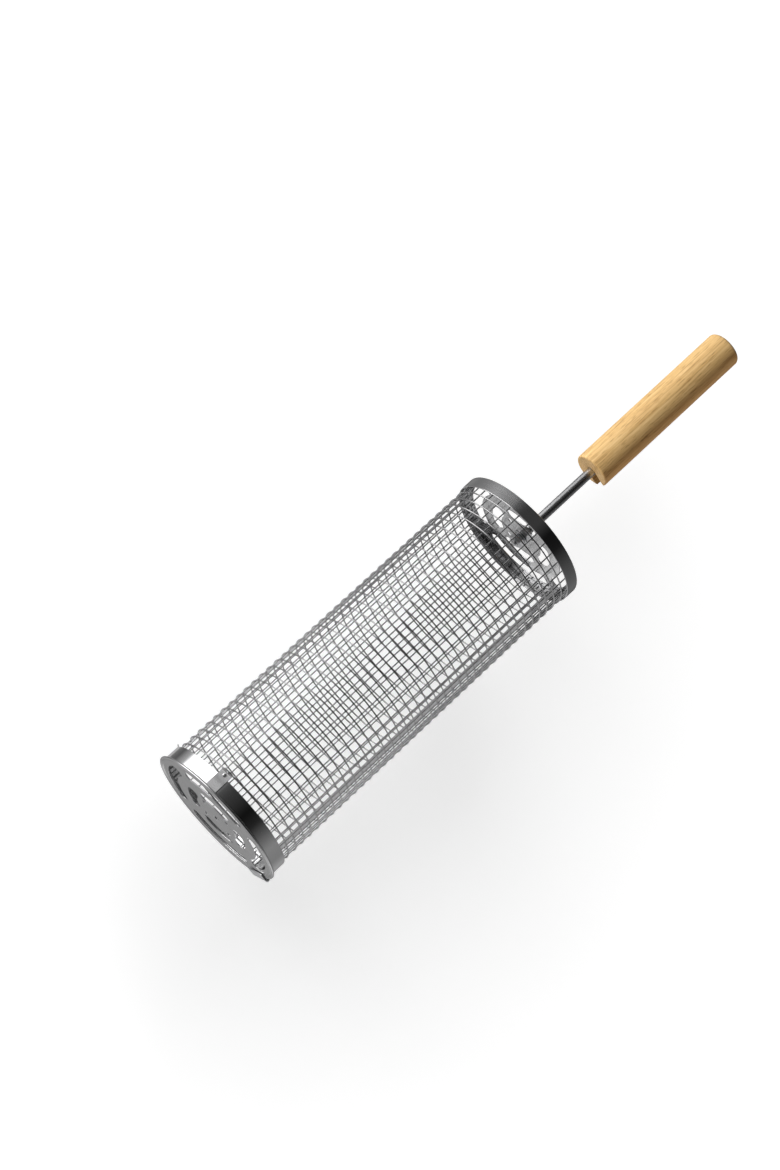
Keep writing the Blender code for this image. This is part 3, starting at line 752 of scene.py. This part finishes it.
def makeHinge():
    # Each leaf is a strip whose end is rolled round the pin: straight run, then an arc about the pin.
    lo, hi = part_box("lid_hinge_leaf")
    pinLo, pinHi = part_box("hinge_pin")
    cx, cy = (pinLo.x + pinHi.x) / 2, (pinLo.y + pinHi.y) / 2
    half, t, cut = (hi.z - lo.z) / 2, hinge["sheet"], hinge["cornerCut"]
    roll = hinge["barrelR"] - t / 2
    up = (0, 0, 1)

    def rolled(start, end):
        # arc about the pin, from one angle to another in degrees
        turn = np.radians(np.linspace(start, end, 40))
        return np.stack([cx + roll * np.cos(turn), cy + roll * np.sin(turn), 0 * turn], -1)

    # lid leaf: a flat strip joined to two rolls, each side of the collar leaf's roll
    x = lo.x + t / 2
    flat = np.array([[x, -hinge["leafIn"], 0], [x, -hinge["leafIn"] - 0.3 * mm, 0], [x, cy + 2.6 * mm, 0],
                     [x, cy + 2.6 * mm - hinge["overlap"], 0]])
    widths = [2 * (half - cut), 2 * half, 2 * half, 2 * half]
    leaf = newPiece("lidHingeLeafSheet", *strip(flat, widths, t, up), steels["hardware"])
    entry = [[x, cy + 2.6 * mm, 0], [x + 0.04 * mm, cy + 1.9 * mm, 0], [x + 0.14 * mm, cy + 1.1 * mm, 0],
             [cx - roll - 0.03 * mm, cy + 0.45 * mm, 0]]
    path = np.vstack([entry, rolled(180, 465)])
    gap = hinge["midHalf"] + hinge["gap"]
    helpers = []
    for side in (1, -1):
        middle = np.array([0, 0, side * (half + gap) / 2])
        helpers.append(newPiece("roll", *strip(path + middle, half - gap, t, up), steels["hardware"]))
    joined(leaf, helpers, "UNION")
    allSmooth(leaf)
    sharpFrom(leaf, 35)
    register(leaf, "lid", "lid_hinge_leaf")

    # collar leaf: one strip, wide on the collar and narrow where it rolls
    lo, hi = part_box("collar_hinge_leaf")
    y, width = hi.y - t / 2, hi.z - lo.z
    start = [[hi.x, y, 0], [hi.x - cut, y, 0], [cx + 3.6 * mm, y, 0], [cx + 3.2 * mm, y, 0],
             [cx + 2.4 * mm, y - 0.12 * mm, 0], [cx + 1.3 * mm, y - 0.7 * mm, 0],
             [cx + 0.5 * mm, cy + roll + 0.07 * mm, 0]]
    path = np.vstack([start, rolled(90, 385)])
    widths = np.full(len(path), 2 * hinge["midHalf"])
    widths[:3] = (width - 2 * cut, width, width)
    leaf = addPiece("collarHingeLeafSheet", *strip(path, widths, t, up), steels["hardware"], "basket",
                    "collar_hinge_leaf", "stainless_sheet")
    sharpFrom(leaf, 35)

    # pin with two domed heads
    a = np.linspace(0, np.pi / 2, 7)
    start = half + hinge["headGap"]
    dome = np.stack([start + hinge["head"] * np.sin(a), hinge["headR"] * np.cos(a)], -1)
    profile = np.vstack([[start, hinge["pinR"]], dome])
    points, faces = turned(np.vstack([(profile * (-1, 1))[::-1], profile]), 32, False)
    points = np.stack([points[:, 1] + cx, points[:, 2] + cy, points[:, 0]], -1)
    addPiece("hingePinTurned", points, faces, steels["hardware"], "basket", "hinge_pin", "steel_hardware")


makeHinge()

# spring clips

clips = {
    "angle": 44.0, "width": 9.4 * mm, "thick": 0.7 * mm, "stand": 0.4 * mm,
    "lip": 2.0 * mm, "lipTurn": 88, "corner": 1.6 * mm, "edge": 0.12 * mm,
    "rise": 0.12 * mm, "riseAt": 5.5 * mm, "riseLong": 3 * mm,      # a faint swell along the tongue
    "stud": 1.45 * mm, "studOver": 1.1 * mm, "studFoot": 0.3 * mm, "studCrown": 0.8,
}


def clipDirections(side):
    # Away from the axis at the clip, and across the clip
    a = math.radians(clips["angle"]) * side
    return np.array([0, math.cos(a), math.sin(a)]), np.array([0, -math.sin(a), math.cos(a)])


def makeClip(name, node, body, side):
    # A strip along x that hugs the collar, swells a little and curls outward at its free end.
    out, across = clipDirections(side)
    t = clips["thick"]
    r0 = roundRadius("lid_collar") + clips["stand"] + t / 2
    x0, x1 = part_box("lid_collar")[0].x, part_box(node)[1].x
    bend = clips["lip"] + t / 2
    turn = np.radians(np.linspace(0, clips["lipTurn"], 16))
    lipX = x1 - t / 2 - bend + bend * np.sin(turn)
    lipR = r0 + bend * (1 - np.cos(turn))
    px = np.concatenate([np.linspace(x0, lipX[0], 14)[:-1], lipX])
    pr = np.concatenate([np.full(13, r0), lipR])
    pr = pr + clips["rise"] * np.exp(-((px - x0 - clips["riseAt"]) / clips["riseLong"]) ** 2)
    path = np.stack([px, 0 * px, 0 * px], -1) + out * pr[:, None]
    length = np.concatenate([[0], np.cumsum(np.linalg.norm(np.diff(path, axis=0), axis=1))])
    left = np.clip((length[-1] - length) / clips["corner"], 0, 1)
    width = clips["width"] - 2 * clips["corner"] * (1 - np.sqrt(1 - (1 - left) ** 2))
    points, faces = strip(path, width, t, across, clips["edge"])
    ob = addPiece(name, points, faces, steels["clip"], body, node, "stainless_sheet")
    sharpFrom(ob, 35)


def makeStud(name, node, body, side):
    # Domed rivet: a flat washer-like foot and a crown that is part of an ellipse.
    out, across = clipDirections(side)
    s, r0 = clips["stud"], roundRadius("lid_collar") + clips["stand"]
    foot, r1 = r0 - clips["studFoot"], r0 + clips["thick"] + 0.05 * mm
    turn = np.linspace(0, np.pi / 2, 9)
    crown = np.stack([r1 + 0.12 * mm + clips["studCrown"] * s * np.sin(turn), s * np.cos(turn)], -1)
    profile = np.vstack([[(foot, 0), (foot, 0.55 * s), (r1, 0.6 * s), (r1, 0.94 * s), (r1 + 0.06 * mm, s)], crown])
    points, faces = turned(profile, 32, False)
    along = np.array([1.0, 0, 0])
    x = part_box("lid_collar")[1].x + clips["studOver"]
    points = x * along + points[:, :1] * out + points[:, 1:2] * across + points[:, 2:] * along
    ob = addPiece(name, points, faces, steels["hardware"], body, node, "steel_hardware")
    sharpFrom(ob, 45)


for side, word in ((1, "upper"), (-1, "lower")):
    makeClip(word + "ClipSpring", "clip_" + word, word + "_clip", side)
    makeStud(word + "ClipStud", "clip_stud_" + word, word + "_clip", side)
print("hinge and clips made")

# rod, nuts and washers

rodSizes = {
    "pitch": 1.0 * mm, "threadDepth": 0.5 * mm, "threadUnder": 0.5 * mm, "steps": 64, "row": 0.125 * mm,
    "shoulderGap": 0.3 * mm, "plainGap": 2 * mm, "chamfer": 0.7 * mm,
}


def makeRod():
    # Radius along x: chamfered thread r - depth * triangle(x / pitch - a / 2 pi), shoulder, plain bar.
    lo, hi = rodLo, rodHi
    r, row = (hi.z - lo.z) / 2, rodSizes["row"]
    thread = r - rodSizes["threadUnder"]
    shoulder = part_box("outer_nut")[1].x + rodSizes["shoulderGap"]
    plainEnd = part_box("grip_insert")[0].x - rodSizes["plainGap"]
    x = np.concatenate([np.arange(lo.x, shoulder, row),
                        np.linspace(shoulder, shoulder + 0.5 * mm, 5),
                        np.linspace(shoulder + 1 * mm, plainEnd - 1 * mm, 60),
                        np.linspace(plainEnd - 0.3 * mm, plainEnd, 3),
                        np.arange(plainEnd + 0.1 * mm, hi.x, row), [hi.x]])
    a = np.linspace(0, 2 * np.pi, rodSizes["steps"], endpoint=False)
    phase = (x[:, None] / rodSizes["pitch"] - a / (2 * np.pi)) % 1.0
    threaded = thread - rodSizes["threadDepth"] * np.clip(2.6 * np.abs(phase - 0.5) - 0.15, 0, 1)
    grow = np.clip((x - shoulder) / (0.4 * mm), 0, 1) * np.clip((plainEnd - x) / (0.3 * mm), 0, 1)
    grow = grow[:, None]
    radius = np.where(grow > 0, thread + (r - thread) * np.sqrt(grow), threaded)
    ends = np.minimum(x - lo.x, hi.x - x)[:, None]
    radius = np.minimum(radius, thread - rodSizes["chamfer"] + ends)
    radius[0] = radius[-1] = thread - rodSizes["chamfer"] - 0.05 * mm
    points = np.stack([np.broadcast_to(x[:, None], radius.shape), radius * np.sin(a), radius * np.cos(a)], -1)
    faces = closedEnds(*radius.shape)
    ob = addPiece("rodTurned", points.reshape(-1, 3), faces, steels["rod"], "basket", "rod",
                  "stainless_sheet")
    sharpFrom(ob, 45)


nut = {"bore": 3.15 * mm, "boreCut": 0.4 * mm, "play": 0.08 * mm, "face": 0.95, "cone": 30, "steps": 96}
washer = {"hole": 3.3 * mm, "rounds": [0.08 * mm, 0.2 * mm, 0.2 * mm, 0.08 * mm]}


def makeNut(name, node):
    # Hexagon whose corners are cut back by a 30 degree cone: the depth of the edge grows with radius.
    lo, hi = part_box(node)
    half, bore = (hi.z - lo.z) / 2, nut["bore"]
    a = np.linspace(0, 2 * np.pi, nut["steps"], endpoint=False)
    # hexagon with corners on Y: distance to the side = half flats / cos(angle from the side's middle)
    off = (a - np.pi / 6 + np.pi / 2) % (np.pi / 3) - np.pi / 6
    hexR = half / np.cos(off) - nut["play"]
    faceR = half * nut["face"]
    cone = np.maximum(hexR - faceR, 0) * math.tan(math.radians(nut["cone"]))
    thick = hi.x - lo.x
    mouth = bore + nut["boreCut"]
    rows = [(mouth, lo.x), (faceR, lo.x), (hexR, lo.x + cone), (hexR, lo.x + thick / 2), (hexR, hi.x - cone),
            (faceR, hi.x), (mouth, hi.x), (bore, hi.x - 0.09 * thick), (bore, lo.x + 0.09 * thick)]
    one = np.ones_like(a)
    points = [np.stack([x * one, r * one * np.sin(a), r * one * np.cos(a)], -1) for r, x in rows]
    faces = gridFaces(len(rows), len(a), True, True)
    ob = addPiece(name, np.vstack(points), faces, steels["hardware"], "basket", node, "steel_hardware")
    sharpFrom(ob, 24)


def makeWasher(name, node):
    lo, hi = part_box(node)
    r, hole = (hi.z - lo.z) / 2, washer["hole"]
    corners = [(lo.x, hole), (lo.x, r), (hi.x, r), (hi.x, hole)]
    points, faces = turned(roundCorners(corners, washer["rounds"], 4), 72, True)
    ob = addPiece(name, points, faces, steels["hardware"], "basket", node, "steel_hardware")
    sharpFrom(ob, 50)


makeRod()
for place in ("inner", "outer"):
    makeNut(place + "NutHex", place + "_nut")
    makeWasher(place + "WasherRing", place + "_washer")
print("rod and nuts made")

# wooden grip

grip = {
    "edge": 1.3 * mm, "farEdge": 2.86 * mm, "slotWidth": 8.4 * mm, "slotDepth": 16.0 * mm,
    "boreGap": 0.35 * mm, "insertGap": 0.3 * mm, "tipStep": 0.5 * mm, "tip": 2.6 * mm,
    "past": 1 * mm,                    # how far cutters reach past the wood
    "steps": 128, "rings": 30, "softEdge": 0.25 * mm,
}
gripParts = {"knurls": 30, "knurlDepth": 0.25 * mm, "insertEnd": 0.4 * mm, "insertLead": 0.6 * mm,
             "insertHole": 3.3 * mm, "pinEdge": 0.35 * mm}


def makeGrip():
    # Turned bar with eased ends, then bored for the rod and slotted at its basket end.
    lo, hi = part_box("wood_grip")
    r, past = (hi.z - lo.z) / 2, grip["past"]
    profile = roundCorners([(lo.x, 0), (lo.x, r), (hi.x, r), (hi.x, 0)], [0, grip["edge"], grip["farEdge"], 0], 8,
                           closed=False)
    body = np.linspace(lo.x + 6 * mm, hi.x - 6 * mm, grip["rings"])
    cutAt = int(np.argmax(profile[:, 0] > (lo.x + hi.x) / 2))
    profile = np.vstack([profile[:cutAt], np.stack([body, np.full(len(body), r)], -1), profile[cutAt:]])
    ob = newPiece("woodGripTurned", *turned(profile, grip["steps"], False), woodGrain)

    insertLo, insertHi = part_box("grip_insert")
    gap = grip["insertGap"]
    insertR = (insertHi.z - insertLo.z) / 2 + gap
    bore = (rodHi.z - rodLo.z) / 2 + grip["boreGap"]
    tipR, tipEnd = bore - grip["tipStep"], insertHi.x + grip["tip"]
    steps = [(lo.x - past, 0), (lo.x - past, bore), (insertLo.x - gap, bore), (insertLo.x - gap, insertR),
             (insertHi.x + gap, insertR), (insertHi.x + gap, tipR), (tipEnd, tipR), (tipEnd, 0)]
    drill = newPiece("drill", *turned(steps, 64, False), woodGrain)
    # the slot: a flat-sided cut with a rounded floor, open toward -Y
    h, d = grip["slotWidth"] / 2, grip["slotDepth"]
    outline = roundCorners([(lo.x - past, -h), (lo.x + d, -h), (lo.x + d, h), (lo.x - past, h)],
                           [0, h * 0.98, h * 0.98, 0], 12)
    n = len(outline)
    points = np.vstack([np.column_stack([outline[:, 0], np.full(n, y), outline[:, 1]]) for y in (-r - past, 0.0)])
    walls = [[i, (i + 1) % n, n + (i + 1) % n, n + i] for i in range(n)]
    saw = newPiece("saw", points, walls + [list(range(n)), list(range(n, 2 * n))], woodGrain)
    joined(ob, [drill, saw], "DIFFERENCE")
    allSmooth(ob)
    sharpFrom(ob, 32)
    softEdges(ob, grip["softEdge"], 2, 40)
    register(ob, "basket", "wood_grip")


def makeInsertAndKey():
    lo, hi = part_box("grip_insert")
    # knurled sleeve: radius = r - depth * |sin(knurls a)|
    a = np.linspace(0, 2 * np.pi, 240, endpoint=False)
    knurl = (hi.z - lo.z) / 2 - gripParts["knurlDepth"] * np.abs(np.sin(gripParts["knurls"] * a))
    end, lead, hole = knurl - gripParts["insertEnd"], gripParts["insertLead"], gripParts["insertHole"] + 0 * a
    rows = [(lo.x, hole), (lo.x, end), (lo.x + lead, knurl), (hi.x - lead, knurl), (hi.x, end), (hi.x, hole)]
    points = np.vstack([np.stack([np.full_like(a, x), r * np.sin(a), r * np.cos(a)], -1) for x, r in rows])
    faces = gridFaces(len(rows), len(a), True, True)
    ob = addPiece("gripInsertSleeve", points, faces, steels["hardware"], "basket", "grip_insert", "steel_hardware")
    sharpFrom(ob, 40)

    lo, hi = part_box("key_pin")
    r, e = (hi.x - lo.x) / 2, gripParts["pinEdge"]
    profile = roundCorners([(lo.y, 0), (lo.y, r), (hi.y, r), (hi.y, 0)], [0, e, e, 0], 5, closed=False)
    points, faces = turned(profile, 40, False)
    points = np.stack([points[:, 1] + (lo.x + hi.x) / 2, points[:, 0], points[:, 2]], -1)
    addPiece("keyPinTurned", points, faces, steels["hardware"], "basket", "key_pin", "steel_hardware")


makeGrip()
makeInsertAndKey()
print("grip made")

# studio: a wrap of light and dark seen in the steel, and soft lamps for the wood and the floor

studio = {
    "floorZ": -0.12,
    # brightness against the angle from +Z toward +Y, in degrees: first for rays that run square to the
    # basket's axis, then for rays that lean toward the handle, then for rays that lean toward the lid
    "wrapSquare": [(-180, 0.30), (-150, 0.34), (-121, 0.50), (-97, 0.34), (-66, 0.40), (-36, 0.15),
                   (-18, 0.03), (4, 0.008), (40, 0.07), (52, 0.12), (58, 0.46), (67, 0.46), (72, 4.2),
                   (123, 4.2), (133, 0.7), (156, 0.15), (180, 0.30)],
    "wrapLeaning": [(-180, 0.33), (-158, 0.12), (-115, 0.20), (-61, 0.10), (-24, 0.015), (2, 0.01),
                    (24, 0.07), (55, 0.06), (73, 0.16), (108, 0.47), (134, 0.36), (158, 0.28), (180, 0.33)],
    "wrapBack": [(-180, 0.45), (-150, 1.0), (-60, 0.9), (-36, 0.2), (4, 0.01), (50, 0.1), (75, 1.5),
                 (125, 1.5), (150, 0.4), (180, 0.45)],
    "top": 4.2,                           # the brightest stop
    # lean of a ray (its x share) where one wrap ends and the next holds in full
    "leaningFrom": (0.21, 0.31), "backFrom": (0.22, 0.33), "endFrom": (0.45, 0.62),
    "endDark": 0.12,                      # both ends of the studio are this much darker above
    "endGlow": 0.42, "endHeight": (0.10, 0.34),      # and grey below this height (z share of the ray)
    "underGlow": 0.52, "underBox": (0.01, 0.345, -0.125, 0.06),
    "floorGlow": 0.49, "floorFade": (0.22, 1.1), "floorMiddle": 0.2, "floorHalf": 9, "floorColor": 0.80,
}
lamps = {
    "floorLamp": dict(energy=80.0, size=2.2, far=3.0, toward=(0.10, 1.10, 1.0), color=(1, 1, 1)),
    "woodLamp": dict(energy=18.5, size=0.25, far=1.5, toward=(-0.50, 1.0, 0.19), color=(1, 0.98, 0.96)),
    "woodFill": dict(energy=7.0, size=1.0, far=1.5, toward=(-0.3, -1.0, 0.27), color=(1.0, 0.68, 0.38)),
}


def wrapRamp(tree, share, stops):
    top = studio["top"]
    shades = rampNode(tree, share, [((d + 180) / 360, (v / top,) * 3) for d, v in stops])
    return mathNode(tree, "MULTIPLY", shades, top)


def between(tree, value, start, end):
    # 0 at start, 1 at end, held outside
    share = mathNode(tree, "DIVIDE", mathNode(tree, "SUBTRACT", value, start), end - start)
    return mathNode(tree, "MINIMUM", mathNode(tree, "MAXIMUM", share, 0.0), 1.0)


def blend(tree, a, b, share):
    # a + (b - a) share
    return mathNode(tree, "ADD", mathNode(tree, "MULTIPLY", b, share),
                    mathNode(tree, "MULTIPLY", a, mathNode(tree, "SUBTRACT", 1.0, share)))


def makeWorld():
    world = bpy.data.worlds.new("studio")
    world.use_nodes = True
    bpy.context.scene.world = world
    tree = world.node_tree
    tree.nodes.clear()
    coord = tree.nodes.new("ShaderNodeTexCoord")
    split = tree.nodes.new("ShaderNodeSeparateXYZ")
    tree.links.new(coord.outputs["Generated"], split.inputs[0])
    x, y, z = split.outputs
    share = mathNode(tree, "ADD", mathNode(tree, "DIVIDE", mathNode(tree, "ARCTAN2", y, z), 2 * math.pi), 0.5)
    square = wrapRamp(tree, share, studio["wrapSquare"])
    leaning = wrapRamp(tree, share, studio["wrapLeaning"])
    back = wrapRamp(tree, share, studio["wrapBack"])
    level = blend(tree, square, leaning, between(tree, x, *studio["leaningFrom"]))
    level = blend(tree, level, back, between(tree, mathNode(tree, "MULTIPLY", x, -1.0), *studio["backFrom"]))
    below = mathNode(tree, "SUBTRACT", 1.0, between(tree, z, *studio["endHeight"]))
    ends = blend(tree, mathNode(tree, "MULTIPLY", level, studio["endDark"]), studio["endGlow"], below)
    level = blend(tree, level, ends, between(tree, mathNode(tree, "ABSOLUTE", x), *studio["endFrom"]))
    glow = tree.nodes.new("ShaderNodeBackground")
    tree.links.new(level, glow.inputs["Strength"])
    seen = tree.nodes.new("ShaderNodeBackground")
    seen.inputs["Color"].default_value = (1, 1, 1, 1)
    rays = tree.nodes.new("ShaderNodeLightPath")
    mix = tree.nodes.new("ShaderNodeMixShader")
    tree.links.new(rays.outputs["Is Camera Ray"], mix.inputs[0])
    tree.links.new(glow.outputs[0], mix.inputs[1])
    tree.links.new(seen.outputs[0], mix.inputs[2])
    out = tree.nodes.new("ShaderNodeOutputWorld")
    tree.links.new(mix.outputs[0], out.inputs[0])


def makeSheet(name, x0, x1, y0, y1, z, mat):
    mesh = bpy.data.meshes.new(name)
    mesh.from_pydata([(x0, y0, z), (x1, y0, z), (x1, y1, z), (x0, y1, z)], [], [(0, 1, 2, 3)])
    mesh.materials.append(mat)
    ob = bpy.data.objects.new(name, mesh)
    bpy.context.scene.collection.objects.link(ob)
    return ob


def makeLamp(name, receiver, aim):
    # A round soft lamp that lights one dull surface and stays out of the steel's reflections.
    values = lamps[name]
    data = bpy.data.lights.new(name, "AREA")
    data.shape = "DISK"
    data.size, data.energy, data.color = values["size"], values["energy"], values["color"]
    lamp = bpy.data.objects.new(name, data)
    bpy.context.scene.collection.objects.link(lamp)
    toward = Vector(values["toward"]).normalized()
    lamp.location = Vector(aim) + toward * values["far"]
    lamp.rotation_euler = toward.to_track_quat("Z", "Y").to_euler()
    group = bpy.data.collections.new(name + "Receivers")
    group.objects.link(receiver)
    lamp.light_linking.receiver_collection = group
    lamp.visible_glossy = False


def makeStage():
    floorZ, half, middle = studio["floorZ"], studio["floorHalf"], studio["floorMiddle"]
    mat, tree, shader = newMaterial("floor_white")
    shader.inputs["Base Color"].default_value = (studio["floorColor"],) * 3 + (1,)
    shader.inputs["Roughness"].default_value = 1.0
    shader.inputs["Specular IOR Level"].default_value = 0.0
    shader.inputs["Emission Color"].default_value = (1, 1, 1, 1)
    # the floor glows more with distance from the basket, so that it fades into the white around it
    coord = tree.nodes.new("ShaderNodeTexCoord")
    away = tree.nodes.new("ShaderNodeVectorMath")
    away.operation = "DISTANCE"
    away.inputs[1].default_value = (middle, 0, floorZ)
    tree.links.new(coord.outputs["Object"], away.inputs[0])
    fade = between(tree, away.outputs["Value"], *studio["floorFade"])
    tree.links.new(blend(tree, studio["floorGlow"], 1.0, fade), shader.inputs["Emission Strength"])
    floor = makeSheet("floor", -half, half, -half, half, floorZ, mat)
    floor.visible_glossy = False
    floor.visible_diffuse = False

    # a pale card under the basket, seen only in the steel
    card, tree, shader = newMaterial("card_glow")
    shader.inputs["Base Color"].default_value = (0, 0, 0, 1)
    shader.inputs["Emission Color"].default_value = (1, 1, 1, 1)
    shader.inputs["Emission Strength"].default_value = studio["underGlow"]
    under = makeSheet("underCard", *studio["underBox"], floorZ + 0.001, card)
    under.visible_camera = False
    under.visible_diffuse = False
    under.visible_shadow = False

    gripObject, gripMiddle = bpy.data.objects["woodGripTurned"], (0.45, 0, axisZ)
    makeLamp("floorLamp", floor, (middle, 0, floorZ))
    makeLamp("woodLamp", gripObject, gripMiddle)
    makeLamp("woodFill", gripObject, gripMiddle)


makeWorld()
makeStage()
bpy.context.scene.view_settings.view_transform = "Standard"
print("studio made")
